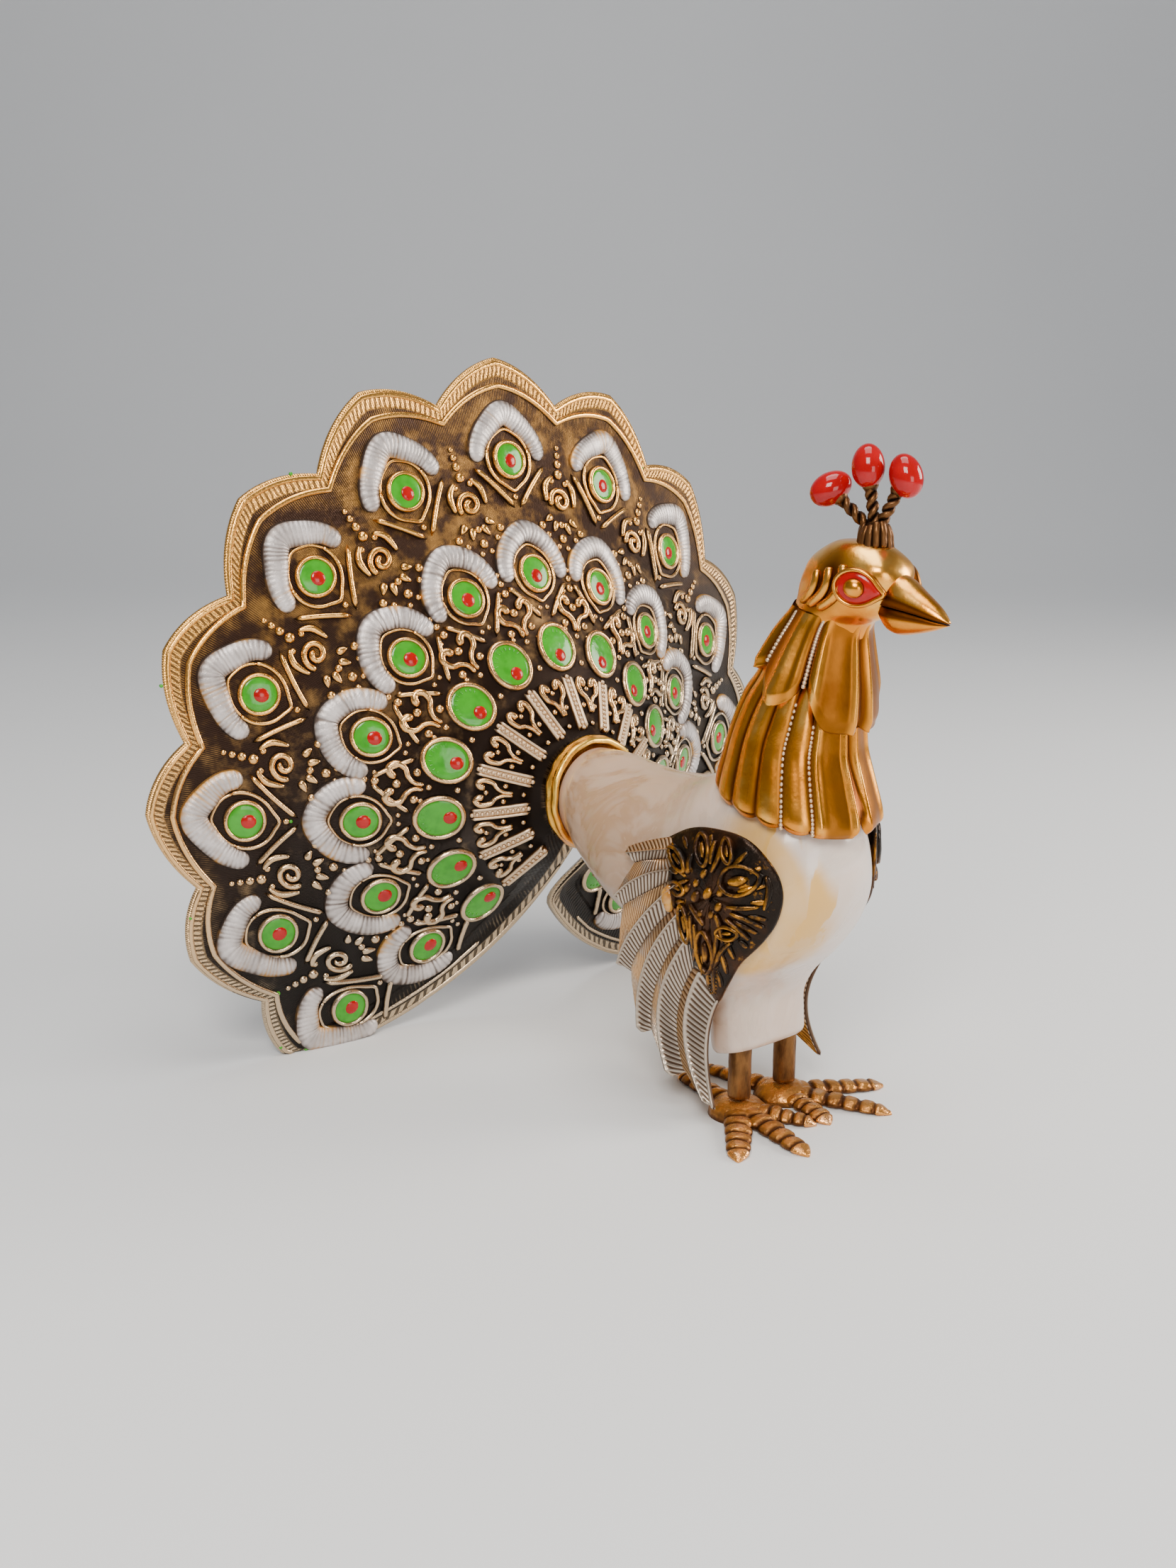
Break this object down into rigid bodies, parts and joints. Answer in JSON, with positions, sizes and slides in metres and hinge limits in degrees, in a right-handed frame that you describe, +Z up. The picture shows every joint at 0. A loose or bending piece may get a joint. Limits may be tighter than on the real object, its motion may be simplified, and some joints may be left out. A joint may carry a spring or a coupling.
{
  "type": "peacock figurine",
  "caption": "Standing peacock ornament: pale shell body, brass neck, feet and wings, and a spread tail stamped with ropes and enamelled eyes.",
  "frame": {"origin": "on the ground under the middle of the figure's box", "axes": "+Z up, the bird faces -Y, +X is the bird's left, along the width of the spread tail"},
  "size_m": [0.1368, 0.1022, 0.1154],
  "materials": {
    "antiqued_bronze": "stamped, antiqued, with silver ropes and green and red enamel",
    "gilt": "polished gilt",
    "mother_of_pearl": "smooth pearly polish, amber glue stains by the wings",
    "polished_brass": "satin, worn bright on the raised lines",
    "antiqued_silver": "silvered feathers with copper-brown grooves, blackened shoulder",
    "dark_brass": "dull and dark",
    "cast_brass": "cast, worn pale on the raised rings",
    "red_bead": "glossy, translucent"
  },
  "bodies": {
    "root": {"tail_fan": "antiqued_bronze", "tail_collar": "gilt", "body_shell": "mother_of_pearl", "neck_and_head": "polished_brass", "crest_stems": "dark_brass", "crest_bead_left": "red_bead", "crest_bead_middle": "red_bead", "crest_bead_right": "red_bead", "right_leg": "dark_brass", "left_leg": "dark_brass", "right_foot": "cast_brass", "left_foot": "cast_brass", "right_wing": "antiqued_silver", "left_wing": "antiqued_silver"}
  },
  "joints": []
}
